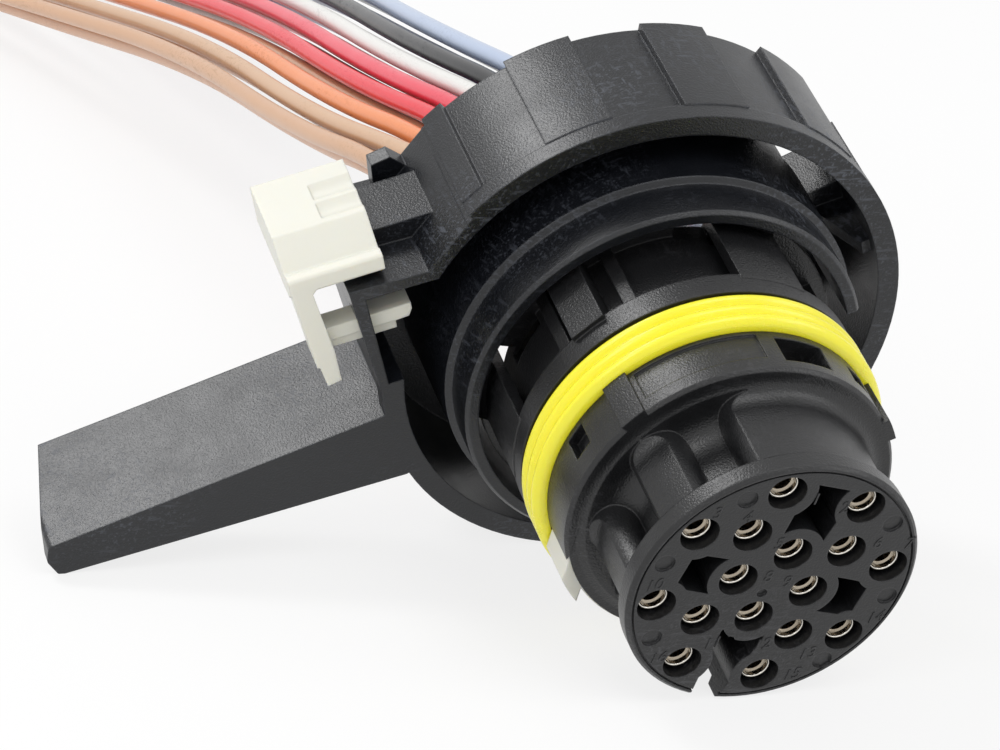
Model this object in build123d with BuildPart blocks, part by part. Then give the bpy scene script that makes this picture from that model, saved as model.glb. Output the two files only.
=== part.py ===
"""Sixteen-way round connector pigtail with a turning bayonet collar, in millimetres.

The connector lies as it rests on a table: on the rim of its nose, the rim of its collar and
the tip of the collar's lever. Depths are measured from the contact face towards the wires.
"""

import math
import os

from build123d import *

# Overall radii and depths along the mating axis
nose_r = 13.0
nose_rim_depth = 1.9
nose_core_r = 12.3
edge_break = 0.3
barrel_r = 14.85
barrel_front = 10.4
shoulder_fillet = 1.6
seal_front = 15.4
seal_width = 4.0
seal_groove_r = 13.5
flange_r = 15.9
flange_thickness = 2.4
neck_r = 14.0
neck_length = 9.2

# Contact pattern: three rings of cavities, counted row by row like text
pattern_turn = -15.0
inner_ring_r = 3.55
middle_ring_r = 6.75
outer_ring_r = 10.35
cavity_mouth_r = 1.72
cavity_mouth_depth = 3.0
cavity_r = 1.45
cavity_wall_r = 2.55

# Collar, lever and bracket
collar_r = 24.4
collar_relief = 0.6
collar_wall = 1.4
collar_front = 33.0
collar_depth = 14.0
collar_band = 1.8
collar_turn = 19.4
collar_base_r = collar_r - collar_relief
collar_inner_r = collar_base_r - collar_wall
pad_height = 0.7
pad_turn = 89.1
pad_width = 14.5
pad_pitch = 30.0
sleeve_front = 27.2
sleeve_step = 31.3
sleeve_r = 18.5
sleeve_root_r = 19.1
sleeve_bore_r = 17.3
web_thickness = 1.6
web_windows = (-1.4, 238.6, 298.6)
web_window_width = 30.0
web_window_notch = 5.0
lip_bore_r = 16.3
running_gap = 0.3
lever_depth = 13.0
lever_wall = 1.7

# Rest on the table: the nose rim and the collar rim touch the same plane
rest_tilt = math.degrees(math.atan2(collar_r - nose_r, collar_front))
table_height = -(nose_r * math.cos(math.radians(rest_tilt))) + edge_break * math.sin(math.radians(rest_tilt))

# The connector's own planes: x to the right seen from the nose, y up the face, z out of the nose
tilt_cos = math.cos(math.radians(rest_tilt))
tilt_sin = math.sin(math.radians(rest_tilt))
face = Plane(origin=(0, 0, 0), x_dir=(1, 0, 0), z_dir=(0, -tilt_cos, -tilt_sin))
mating_axis = Axis(face.origin, face.z_dir)


def sideways(turn):
    """Direction across the mating axis, turned from the face's own x."""
    return face.x_dir * math.cos(math.radians(turn)) + face.y_dir * math.sin(math.radians(turn))


def across(depth, turn=0):
    """Plane across the mating axis at a depth behind the contact face."""
    return Plane(origin=face.z_dir * -depth, x_dir=sideways(turn), z_dir=face.z_dir)


def along(turn=0):
    """Half-section plane: x is the radius at the given turn, y runs out of the nose."""
    return Plane(origin=face.origin, x_dir=sideways(turn), z_dir=sideways(turn + 90) * -1)


def polar(radius, angle):
    """Point on a plane at a radius and an angle in degrees."""
    return (radius * math.cos(math.radians(angle)), radius * math.sin(math.radians(angle)))


def ring_section(inner, outer, front, rear):
    """Rectangle of a ring's half section, between two radii and two depths."""
    Polyline((inner, -front), (outer, -front), (outer, -rear), (inner, -rear), close=True)


inner_ring = [polar(inner_ring_r, 90 * n) for n in range(4)]
middle_ring = [polar(middle_ring_r, 45 + 90 * n) for n in range(4)]
outer_ring = [polar(outer_ring_r, 22.5 + 45 * n) for n in range(8)]
cavities = sorted(inner_ring + middle_ring + outer_ring, key=lambda place: (-round(place[1] / 2), place[0]))

# Star-shaped core-outs between the cavities, each bounded by the walls of its neighbours
star_half_width = 2.2
star_inner_r = 5.3
star_wall_r = 2.75
star_depth = 10.8
star_reach = {90: 11.2, 180: 9.1, 0: 9.1}
key_half_width = 1.2

# Flutes in the nose between the outer cavities
flute_turns = (112.5 + 22.5, 180.0, 225.0, 315.0)
flute_floor_r = 9.6
flute_half_angle = 22.0
flute_rear = 10.2
flute_rise = 2.6

# Terminal lock plate, which slides across the barrel through a slot
lock_turn = 267.0
lock_plate_r = 12.4
lock_front = 12.2
lock_thickness = 1.9
lock_gap = 0.25
lock_clear = 0.15
lock_travel = 1.0
lock_hole_r = 1.6
lock_tab_half_width = 13.2
lock_tab_r = 15.8
lock_tab_skin_r = 14.75
lock_grip_width = 2.0
lock_tab_front = 10.7
lock_tab_rear = 15.1
lock_tab_wall = 0.55
lock_neck_width = 5.6

# Fingers that carry the collar
finger_turns = (62.0, 176.0, 268.0, 330.0)
finger_width = 24.0
finger_inner_r = 14.9
finger_r = sleeve_bore_r - running_gap
hook_r = 17.0
hook_length = 1.6
neck_rib_turns = (30.0, 122.0, 148.0, 232.0, 300.0)
neck_rib_thickness = 1.2
neck_rib_r = 15.2
fin_turn = 137.0
fin_thickness = 3.4
fin_r = 16.4
fin_rear = 30.5
neck_rim_thickness = 1.2
neck_rim_gaps = ((84.0, 13.0), (171.0, 24.0))

# Small features round the barrel: turn, arc, floor radius, front and rear
barrel_pad_turns = (134.0, 25.0)
barrel_pad_arc = 9.0
barrel_pad_height = 0.45
barrel_pad_root_r = 12.9
barrel_cuts = (
    (89.0, 43.0, 14.65, 12.0, 15.0),
    (64.0, 19.0, 12.0, 11.6, 14.6),
    (42.0, 9.0, 14.2, 12.3, 14.3),
)
side_window_turn = 160.2
side_window_depth = 13.7
side_window_length = 2.4
side_window_width = 2.15
side_window_floor = 13.8

# Shallow marks in the contact face
dimple_depth = 0.25
dimple_r = 0.9
small_dimple_r = 0.45
rim_groove_r = 12.3
rim_groove_width = 0.2
dimples = [(-4.8, 9.8), (9.36, 6.15), (11.13, -2.11), (6.95, -9.16), (-9.8, -5.1), (-10.6, 3.27)]
small_dimples = [(-0.84, -0.77), (-2.46, -5.98)]

# Rear of the connector
mat_front = 23.2
mat_length = 5.6
mat_r = 11.9
retainer_thickness = 1.6
retainer_r = 11.8
wire_r = 0.95
wire_hole_r = 1.05

retainer_catch = 0.7
retainer_catch_width = 4.0
retainer_catch_reach = 2.9
retainer_catches = 4

lock_tab_inner_r = lock_tab_skin_r - lock_tab_wall
lock_recess_r = lock_tab_inner_r - lock_travel - lock_clear
flange_front = seal_front + seal_width + 0.1
flange_rear = flange_front + flange_thickness
neck_rear = flange_rear + neck_length
collar_rear = collar_front + collar_depth
web_front = collar_rear - web_thickness
web_window_r = sleeve_r + 0.1
web_window_front = web_front - web_window_notch
lip_front = web_front - running_gap
finger_rear = collar_rear + running_gap + hook_length

os.makedirs("parts", exist_ok=True)


# Flutes of the nose: rounded by the cavity walls, each floor rising to the barrel's shoulder
with BuildPart() as nose_flutes:
    with BuildSketch(across(flute_rear, pattern_turn)):
        for turn in flute_turns:
            with BuildLine():
                Polyline(
                    polar(flute_floor_r - 1, turn - flute_half_angle),
                    polar(nose_r + 3, turn - flute_half_angle),
                    polar(nose_r + 3, turn + flute_half_angle),
                    polar(flute_floor_r - 1, turn + flute_half_angle),
                    close=True,
                )
            make_face()
        with Locations(*cavities):
            Circle(cavity_wall_r, mode=Mode.SUBTRACT)
    extrude(amount=flute_rear - nose_rim_depth)
    with BuildSketch(along()):
        with BuildLine():
            TangentArc(
                (flute_floor_r, -flute_rear + flute_rise),
                (flute_floor_r + flute_rise, -flute_rear),
                tangent=(0, -1),
            )
            Polyline(
                (flute_floor_r + flute_rise, -flute_rear),
                (nose_r + 4, -flute_rear),
                (nose_r + 4, -nose_rim_depth),
                (flute_floor_r, -nose_rim_depth),
                (flute_floor_r, -flute_rear + flute_rise),
            )
        make_face()
    revolve(axis=mating_axis, mode=Mode.INTERSECT)


# Connector body: nose, barrel, seal groove, flange and neck, with its cavities
with BuildPart() as connector_body:
    with BuildSketch(along()):
        with BuildLine():
            Polyline(
                (0, -neck_rear),
                (0, 0),
                (nose_r - edge_break, 0),
                (nose_r, -edge_break),
                (nose_r, -nose_rim_depth),
                (nose_core_r, -nose_rim_depth - edge_break),
                (nose_core_r, -barrel_front + shoulder_fillet),
            )
            TangentArc(
                (nose_core_r, -barrel_front + shoulder_fillet),
                (nose_core_r + shoulder_fillet, -barrel_front),
                tangent=(0, -1),
            )
            Polyline(
                (nose_core_r + shoulder_fillet, -barrel_front),
                (barrel_r - edge_break, -barrel_front),
                (barrel_r, -barrel_front - edge_break),
                (barrel_r, -seal_front),
                (seal_groove_r, -seal_front),
                (seal_groove_r, -flange_front),
                (flange_r, -flange_front),
                (flange_r, -flange_rear),
                (neck_r, -flange_rear),
                (neck_r, -neck_rear),
                (0, -neck_rear),
            )
        make_face()
    revolve(axis=mating_axis)
    add(nose_flutes.part, mode=Mode.SUBTRACT)
    # Star-shaped core-outs, and the keyway that opens through the rim
    with BuildSketch(across(star_depth, pattern_turn)):
        for turn, reach in star_reach.items():
            with BuildLine():
                Polyline(
                    polar(star_inner_r, turn - 22),
                    polar(reach, turn - 12),
                    polar(reach, turn + 12),
                    polar(star_inner_r, turn + 22),
                    close=True,
                )
            make_face()
        with BuildLine():
            Polyline(
                (-star_half_width, -star_inner_r),
                (-key_half_width, -nose_r - 1),
                (key_half_width, -nose_r - 1),
                (star_half_width, -star_inner_r),
                close=True,
            )
        make_face()
        with Locations(*cavities):
            Circle(star_wall_r, mode=Mode.SUBTRACT)
    extrude(amount=star_depth, mode=Mode.SUBTRACT)
    # Cavities: a wider mouth and a bore through to the seal pocket
    with BuildSketch(across(cavity_mouth_depth, pattern_turn)):
        with Locations(*cavities):
            Circle(cavity_mouth_r)
    extrude(amount=cavity_mouth_depth, mode=Mode.SUBTRACT)
    with BuildSketch(across(mat_front, pattern_turn)):
        with Locations(*cavities):
            Circle(cavity_r)
    extrude(amount=mat_front, mode=Mode.SUBTRACT)
    # Pocket for the mat seal and its retainer
    with BuildSketch(across(neck_rear)):
        Circle(mat_r)
    extrude(amount=neck_rear - mat_front, mode=Mode.SUBTRACT)
    # Windows in the neck for the retainer's catches
    with BuildSketch(across(mat_front + mat_length + retainer_thickness + running_gap, pattern_turn)):
        with PolarLocations(neck_r, retainer_catches):
            Rectangle(2 * retainer_catch_reach, retainer_catch_width + 2 * running_gap)
    extrude(amount=retainer_thickness + 2 * running_gap, mode=Mode.SUBTRACT)
    # Slot for the terminal lock: round over the cavities and open to its own side
    with BuildSketch(across(lock_front + lock_thickness + lock_gap, lock_turn)):
        Circle(lock_plate_r + lock_gap)
        with Locations((barrel_r, 0)):
            Rectangle(2 * barrel_r, 2 * (lock_plate_r + lock_gap))
    extrude(amount=lock_thickness + 2 * lock_gap, mode=Mode.SUBTRACT)
    # Recess in the barrel for the lock's outer tab
    with BuildSketch(across(lock_tab_rear + lock_gap, lock_turn)):
        with Locations((barrel_r, 0)):
            Rectangle(2 * barrel_r, 2 * (lock_tab_half_width + lock_gap))
        Circle(lock_recess_r, mode=Mode.SUBTRACT)
    extrude(amount=lock_tab_rear - lock_tab_front + 2 * lock_gap, mode=Mode.SUBTRACT)
    # Ribs along the neck, and the broad fin that keys the collar's sleeve
    for turn in neck_rib_turns:
        with BuildSketch(along(turn)):
            with BuildLine():
                ring_section(neck_r - 0.5, neck_rib_r, flange_rear - 0.5, neck_rear)
            make_face()
        extrude(amount=neck_rib_thickness / 2, both=True)
    with BuildSketch(along(fin_turn)):
        with BuildLine():
            ring_section(neck_r - 0.5, fin_r, flange_rear - 0.5, fin_rear)
        make_face()
    extrude(amount=fin_thickness / 2, both=True)
    # Rim round the neck's rear end, open in two places
    with BuildSketch(along()):
        with BuildLine():
            ring_section(neck_r - 0.5, fin_r, neck_rear - neck_rim_thickness, neck_rear)
        make_face()
    revolve(axis=mating_axis)
    for start, arc in neck_rim_gaps:
        with BuildSketch(along(start)):
            with BuildLine():
                ring_section(neck_r, fin_r + 0.2, neck_rear - neck_rim_thickness - 0.1, neck_rear + 0.1)
            make_face()
        revolve(axis=mating_axis, revolution_arc=arc, mode=Mode.SUBTRACT)
    # Fingers with a shoulder in front of the collar's lip and a hook behind it
    for turn in finger_turns:
        with BuildSketch(along(turn)):
            with BuildLine():
                Polyline(
                    (finger_inner_r, -flange_rear + 0.5),
                    (finger_r - 1, -flange_rear + 0.5),
                    (finger_r - 1, -sleeve_front - 2),
                    (finger_r, -sleeve_front - 3),
                    (finger_r, -lip_front + running_gap),
                    (lip_bore_r - running_gap, -lip_front + running_gap),
                    (lip_bore_r - running_gap, -collar_rear - running_gap),
                    (hook_r, -collar_rear - running_gap),
                    (lip_bore_r - running_gap, -finger_rear),
                    (finger_inner_r, -finger_rear),
                    close=True,
                )
            make_face()
        revolve(axis=mating_axis, revolution_arc=finger_width)
    # Raised pads on the barrel
    for turn in barrel_pad_turns:
        with BuildSketch(along(turn)):
            with BuildLine():
                ring_section(barrel_pad_root_r, barrel_r + barrel_pad_height, barrel_front, seal_front)
            make_face()
        revolve(axis=mating_axis, revolution_arc=barrel_pad_arc)
    # Shallow recess, window over the lock plate and a small slot, all round the barrel
    for start, arc, floor, front, rear in barrel_cuts:
        with BuildSketch(along(start)):
            with BuildLine():
                ring_section(floor, barrel_r + 2, front, rear)
            make_face()
        revolve(axis=mating_axis, revolution_arc=arc, mode=Mode.SUBTRACT)
    # Square catch window of the terminal lock in the barrel's side
    with BuildSketch(
        Plane(
            origin=face.z_dir * -side_window_depth + sideways(side_window_turn) * side_window_floor,
            x_dir=face.z_dir,
            z_dir=sideways(side_window_turn),
        )
    ):
        Rectangle(side_window_length, side_window_width)
    extrude(amount=barrel_r, mode=Mode.SUBTRACT)
    # A thin groove inside the rim of the contact face, and dimples between the cavities
    with BuildSketch(across(dimple_depth)):
        Circle(rim_groove_r + rim_groove_width)
        Circle(rim_groove_r, mode=Mode.SUBTRACT)
        with Locations(*dimples):
            Circle(dimple_r)
        with Locations(*small_dimples):
            Circle(small_dimple_r)
    extrude(amount=dimple_depth, mode=Mode.SUBTRACT)
connector_body.part.label = "connector_body"
export_step(connector_body.part, "parts/connector_body.step")


# Yellow ring seal with three ribs, in the groove behind the barrel
seal_fit = 0.05
seal_valley_r = 15.4
seal_crest_r = 16.05
seal_ribs = 3
with BuildPart() as ring_seal:
    with BuildSketch(along()):
        seal_start = seal_front + seal_fit
        rib_width = (seal_width - seal_fit) / seal_ribs
        with BuildLine():
            Polyline(
                (seal_valley_r, -seal_start),
                (seal_groove_r + seal_fit, -seal_start),
                (seal_groove_r + seal_fit, -seal_start - seal_ribs * rib_width),
                (seal_valley_r, -seal_start - seal_ribs * rib_width),
            )
            for rib in range(seal_ribs):
                front = seal_start + rib * rib_width
                ThreePointArc(
                    (seal_valley_r, -front),
                    (seal_crest_r, -front - rib_width / 2),
                    (seal_valley_r, -front - rib_width),
                )
        make_face()
    revolve(axis=mating_axis)
ring_seal.part.label = "ring_seal"
export_step(ring_seal.part, "parts/ring_seal.step")


# Terminal lock: a plate with a slotted hole for each contact, shown pulled out by its travel
lock_pull = polar(lock_travel, lock_turn - pattern_turn)
with BuildPart() as terminal_lock:
    with BuildSketch(across(lock_front + lock_thickness, lock_turn)):
        with Locations((lock_travel, 0)):
            Circle(lock_plate_r)
        with Locations((lock_plate_r, 0)):
            Rectangle(2 * (lock_tab_skin_r - lock_tab_wall / 2 - lock_plate_r), lock_neck_width)
    extrude(amount=lock_thickness)
    with BuildSketch(across(lock_front + lock_thickness, pattern_turn)):
        for place in cavities:
            with Locations((place[0] + lock_pull[0] / 2, place[1] + lock_pull[1] / 2)):
                SlotCenterToCenter(lock_travel, 2 * lock_hole_r, rotation=lock_turn - pattern_turn)
    extrude(amount=lock_thickness, mode=Mode.SUBTRACT)
    # Outer tab: a skin flush with the barrel, with a raised finger grip along both ends
    with BuildSketch(across(lock_tab_rear, lock_turn)):
        Circle(lock_tab_r)
        Circle(lock_tab_inner_r, mode=Mode.SUBTRACT)
        with Locations((lock_tab_r, 0)):
            Rectangle(2 * lock_tab_r, 2 * lock_tab_half_width, mode=Mode.INTERSECT)
    extrude(amount=lock_tab_rear - lock_tab_front)
    with BuildSketch(across(lock_tab_rear, lock_turn)):
        Circle(lock_tab_r)
        Circle(lock_tab_skin_r, mode=Mode.SUBTRACT)
        with Locations((lock_tab_r, 0)):
            Rectangle(2 * lock_tab_r, 2 * (lock_tab_half_width - lock_grip_width), mode=Mode.INTERSECT)
    extrude(amount=lock_tab_rear - lock_tab_front, mode=Mode.SUBTRACT)
terminal_lock.part.label = "terminal_lock"
export_step(terminal_lock.part, "parts/terminal_lock.step")


# Locking collar: outer wall, sleeve, web and lip, with its lever and the bracket of the slide lock
lever_root_x = -23.0
lever_outline = ((lever_root_x, 0.6), (-56.1, -2.65), (-56.55, -4.3), (-55.85, -6.26), (lever_root_x, -7.29))
lever_slant = 2.6
lever_corner = 0.6
lever_hollow = ((-25.8, -1.3), (-52.0, -4.0), (-52.0, -4.7), (-25.8, -5.5))
lever_ribs = (-32.0, -41.0, -49.0)
lever_rib_thickness = 1.2
# Bracket beside the lever, where the wall leaves the circle: facet, shelf and fin, with its rail
bracket_start = 124.4
bracket_end = 169.8
facet_top = (-14.0, 19.16)
facet_foot = (-18.12, 15.35)
bracket_corner = (-25.3, 15.67)
bracket_outside = ((0, 0), facet_foot, bracket_corner, (-23.95, 0.0))
bracket_inside = ((-12.0, 3.98), (-16.6, 14.2), (-23.93, 14.35), (-23.47, 3.98))
rail_top = 17.4
rail_front = 38.0
rail_rear = 44.0
rail_root = 15.0
rail_right = -15.7
corner_piece = ((-19.5, 15.2), (-19.3, 18.2), (-17.5, 18.5), (-16.0, 16.8), (-17.2, 15.2))
arm_front = 34.2
arm_rear = 36.2
arm_top = 11.45
arm_rib_bottom = 8.8
sleeve_gaps = ((-35.0, 38.0), (235.0, 34.0))
sleeve_gap_rear = 42.0
stop_turn = -4.4
stop_arc = 15.0
stop_front = 41.0
gusset_thickness = 1.4
gusset_front = collar_front + 1.5
far = 2 * collar_r
# Layers of the wall: outer radius, rear, height along the axis and number of grip pads
wall_layers = (
    (collar_base_r + pad_height, collar_rear, collar_depth - collar_band, round(360 / pad_pitch)),
    (collar_r, collar_front + collar_band, collar_band, 0),
)
with BuildPart() as locking_collar:
    # Outer wall with grip pads behind a plain front band, and the bracket's walls
    for outer_r, rear, height, pads in wall_layers:
        with BuildSketch(across(rear, collar_turn)):
            Circle(outer_r)
            for step in range(pads):
                low = pad_turn + pad_width + step * pad_pitch
                with BuildLine():
                    Polyline((0, 0), polar(far, low), polar(far, low + pad_pitch - pad_width), close=True)
                make_face(mode=Mode.SUBTRACT)
            with BuildLine():
                Polyline((0, 0), polar(far, bracket_start), polar(far, bracket_end), close=True)
            make_face(mode=Mode.SUBTRACT)
            Circle(collar_base_r)
            with BuildLine():
                Polyline(facet_top, polar(far, bracket_start), (-far, facet_foot[1] + 9), facet_foot, close=True)
            make_face(mode=Mode.SUBTRACT)
            with BuildLine():
                Polyline(*bracket_outside, close=True)
            make_face()
            Circle(collar_inner_r, mode=Mode.SUBTRACT)
            with BuildLine():
                Polyline(*bracket_inside, close=True)
            make_face(mode=Mode.SUBTRACT)
        extrude(amount=height)
    # The web's plate closes the bracket at the rear
    with BuildSketch(across(collar_rear, collar_turn)):
        with BuildLine():
            Polyline(*bracket_outside, close=True)
        make_face()
        Circle(sleeve_root_r + 1, mode=Mode.SUBTRACT)
    extrude(amount=web_thickness)
    with BuildSketch(across(collar_rear, collar_turn)):
        with BuildLine():
            Polyline(*corner_piece, close=True)
        make_face()
    extrude(amount=web_thickness)
    # Sleeve in two steps, joined to the wall by the web, with the lip at its rear
    with BuildSketch(along()):
        with BuildLine():
            Polyline(
                (sleeve_bore_r, -sleeve_front),
                (sleeve_r - edge_break, -sleeve_front),
                (sleeve_r, -sleeve_front - edge_break),
                (sleeve_r, -sleeve_step),
                (sleeve_root_r, -sleeve_step - edge_break),
                (sleeve_root_r, -web_front),
                (collar_inner_r + 0.5, -web_front),
                (collar_inner_r + 0.5, -collar_rear),
                (lip_bore_r, -collar_rear),
                (lip_bore_r, -lip_front),
                (sleeve_bore_r, -lip_front),
                close=True,
            )
        make_face()
    revolve(axis=mating_axis)
    # Gaps in the sleeve and arc windows in the web
    for start, arc in sleeve_gaps:
        with BuildSketch(along(collar_turn + start)):
            with BuildLine():
                ring_section(sleeve_bore_r - 0.5, sleeve_root_r + 0.5, sleeve_front - 1, sleeve_gap_rear)
            make_face()
        revolve(axis=mating_axis, revolution_arc=arc, mode=Mode.SUBTRACT)
    for turn in web_windows:
        with BuildSketch(along(collar_turn + turn)):
            with BuildLine():
                ring_section(web_window_r, collar_inner_r - 0.6, web_window_front, collar_rear + 1)
            make_face()
        revolve(axis=mating_axis, revolution_arc=web_window_width, mode=Mode.SUBTRACT)
    # Stop block between wall and sleeve, with a gusset in front of it
    with BuildSketch(along(collar_turn + stop_turn)):
        with BuildLine():
            ring_section(sleeve_r, collar_inner_r + 0.2, stop_front, collar_rear)
        make_face()
    revolve(axis=mating_axis, revolution_arc=stop_arc)
    with BuildSketch(along(collar_turn + stop_turn + stop_arc / 2)):
        with BuildLine():
            Polyline(
                (sleeve_root_r - 0.1, -stop_front - 0.5),
                (collar_inner_r + 0.3, -stop_front - 0.5),
                (collar_inner_r + 0.3, -gusset_front),
                (collar_inner_r - 0.8, -gusset_front),
                close=True,
            )
        make_face()
    extrude(amount=gusset_thickness / 2, both=True)
    # Lever: tapered bar, its tip slanting in towards the rear, hollow from behind
    with BuildSketch(across(collar_front + lever_depth, collar_turn)):
        with BuildLine():
            FilletPolyline(*lever_outline, radius=lever_corner, close=True)
        make_face()
    extrude(amount=lever_depth)
    with BuildSketch(along(collar_turn + 180)):
        with BuildLine():
            Polyline(
                (-lever_outline[2][0], -collar_front - 1),
                (-lever_outline[2][0] + 5, -collar_front - 1),
                (-lever_outline[2][0] + 5, -collar_rear),
                (-lever_outline[2][0] - lever_slant, -collar_rear),
                close=True,
            )
        make_face()
    extrude(amount=lever_depth, both=True, mode=Mode.SUBTRACT)
    with BuildSketch(across(collar_front + lever_depth, collar_turn)):
        with BuildLine():
            Polyline(*lever_hollow, close=True)
        make_face()
        with Locations(*[(x, 0) for x in lever_ribs]):
            Rectangle(lever_rib_thickness, far, mode=Mode.SUBTRACT)
    extrude(amount=lever_depth - lever_wall, mode=Mode.SUBTRACT)
    # Rail of the slide lock: a step on the bracket's shelf
    with BuildSketch(across(rail_rear, collar_turn)):
        with BuildLine():
            Polyline(
                (bracket_corner[0], rail_root),
                (bracket_corner[0], rail_top),
                (rail_right, rail_top),
                (rail_right - 1.5, rail_root),
                close=True,
            )
        make_face()
    extrude(amount=rail_rear - rail_front)
    # Window in the fin for the lock's arm
    with BuildSketch(along(collar_turn + 90).offset(bracket_corner[0] - 1)):
        with BuildLine():
            ring_section(
                arm_rib_bottom - running_gap, arm_top + running_gap, arm_front - running_gap, arm_rear + running_gap
            )
        make_face()
    extrude(amount=bracket_inside[3][0] - bracket_corner[0] + 2, mode=Mode.SUBTRACT)
locking_collar.part.label = "locking_collar"
export_step(locking_collar.part, "parts/locking_collar.step")


# Slide lock: grip block over the rail, leg, and an arm through the fin into the bracket
block_left = -30.2
block_right = -21.7
block_front = 33.2
block_rear = 45.2
block_wall = 1.5
block_top = 20.2
block_fit = 0.25
block_bottom = bracket_corner[1] + running_gap
block_edge = 0.3
lip_top = 18.6
lip_foot = 17.0
valley_top = 18.05
valley_depth = 34.9
slope_rear = 37.6
groove_left = -25.5
groove_r = 1.7
groove_rise = 1.3
groove_depths = (39.3, 41.9)
leg_rear = 36.4
leg_outline = (
    (block_left, 18.0),
    (-29.32, 8.2),
    (-29.08, 8.1),
    (-28.73, 5.75),
    (-27.44, 6.0),
    (-27.5, 9.5),
    (-28.29, 16.5),
    (-27.6, 17.3),
    (-27.6, 18.0),
)
arm_root_x = -28.4
arm_rib_top = 9.95
arm_rib_tip_x = -21.5
arm_rib_inset = 0.4
arm_tip = ((-19.96, 10.76), (-20.32, 10.03))
with BuildPart() as slide_lock:
    with BuildSketch(along(collar_turn + 90).offset(block_left)):
        with BuildLine():
            FilletPolyline(
                (block_bottom, -block_front - 1.1),
                (lip_foot, -block_front),
                (lip_top, -block_front),
                (lip_top, -block_front - 0.9),
                (valley_top, -valley_depth),
                (block_top, -slope_rear),
                (block_top, -block_rear),
                (block_bottom, -block_rear),
                radius=block_edge,
                close=True,
            )
        make_face()
    extrude(amount=block_right - block_left)
    # Finger grooves across the plateau, and the pocket that slides over the rail
    with BuildSketch(along(collar_turn + 90).offset(groove_left)):
        with Locations(*[(block_top + groove_rise, -depth) for depth in groove_depths]):
            Circle(groove_r)
    extrude(amount=block_right - groove_left, mode=Mode.SUBTRACT)
    with BuildSketch(along(collar_turn + 90).offset(block_left + block_wall)):
        with BuildLine():
            ring_section(rail_root, rail_top + block_fit, rail_front - block_fit, rail_rear + block_fit)
        make_face()
    extrude(amount=block_right - block_left, mode=Mode.SUBTRACT)
    # Leg down the side
    with BuildSketch(across(leg_rear, collar_turn)):
        with BuildLine():
            Polyline(*leg_outline, close=True)
        make_face()
    extrude(amount=leg_rear - block_front)
    # Arm with a chamfered tip, and the rib under it
    with BuildSketch(across(arm_rear, collar_turn)):
        with BuildLine():
            Polyline(
                (arm_root_x, arm_rib_top), (arm_root_x, arm_top), (arm_tip[0][0], arm_top), *arm_tip,
                (arm_rib_tip_x, arm_rib_top), close=True,
            )
        make_face()
    extrude(amount=arm_rear - arm_front)
    with BuildSketch(across(arm_rear - arm_rib_inset, collar_turn)):
        with BuildLine():
            Polyline(
                (arm_root_x, arm_rib_bottom),
                (arm_root_x, arm_top),
                (arm_rib_tip_x, arm_top),
                (arm_rib_tip_x, arm_rib_bottom),
                close=True,
            )
        make_face()
    extrude(amount=arm_rear - arm_front - 2 * arm_rib_inset)
slide_lock.part.label = "slide_lock"
export_step(slide_lock.part, "parts/slide_lock.step")


# Mat seal behind the cavities, gripping every wire, with ribs against the neck
mat_rib_depth = 0.5
mat_rib_count = 3
mat_groove_width = mat_length * 0.4 / mat_rib_count
mat_rear = mat_front + mat_length
with BuildPart() as mat_seal:
    with BuildSketch(across(mat_rear)):
        Circle(mat_r - seal_fit)
    extrude(amount=mat_length)
    for rib in range(mat_rib_count):
        with BuildSketch(along()):
            with BuildLine():
                groove_front = mat_front + mat_length * (rib + 0.3) / mat_rib_count
                ring_section(mat_r - mat_rib_depth, mat_r + 1, groove_front, groove_front + mat_groove_width)
            make_face()
        revolve(axis=mating_axis, mode=Mode.SUBTRACT)
    with BuildSketch(across(mat_rear, pattern_turn)):
        with Locations(*cavities):
            Circle(wire_r + seal_fit)
    extrude(amount=mat_length, mode=Mode.SUBTRACT)
mat_seal.part.label = "mat_seal"
export_step(mat_seal.part, "parts/mat_seal.step")


# Retainer plate that keeps the mat seal in, snapped into windows of the neck
with BuildPart() as seal_retainer:
    with BuildSketch(across(mat_rear + retainer_thickness, pattern_turn)):
        Circle(retainer_r)
        with Locations(*cavities):
            Circle(wire_hole_r, mode=Mode.SUBTRACT)
    extrude(amount=retainer_thickness)
    with BuildSketch(across(mat_rear + retainer_thickness, pattern_turn)):
        with PolarLocations(retainer_r - retainer_catch / 2, retainer_catches):
            Rectangle(3 * retainer_catch, retainer_catch_width)
        with Locations(*cavities):
            Circle(wire_hole_r, mode=Mode.SUBTRACT)
    extrude(amount=retainer_thickness)
seal_retainer.part.label = "seal_retainer"
export_step(seal_retainer.part, "parts/seal_retainer.step")


# Socket contact: rolled lip, stepped bore, locking groove, crimp barrel
contact_front = 1.0
contact_lip_r = 1.38
contact_r = 1.22
contact_bore_r = 0.8
contact_bore_depth = 6.6
contact_steps = ((1.12, 0.7), (0.95, 1.6))
contact_lip_round = 0.13
contact_groove_r = 1.0
contact_rear = 22.0


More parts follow.
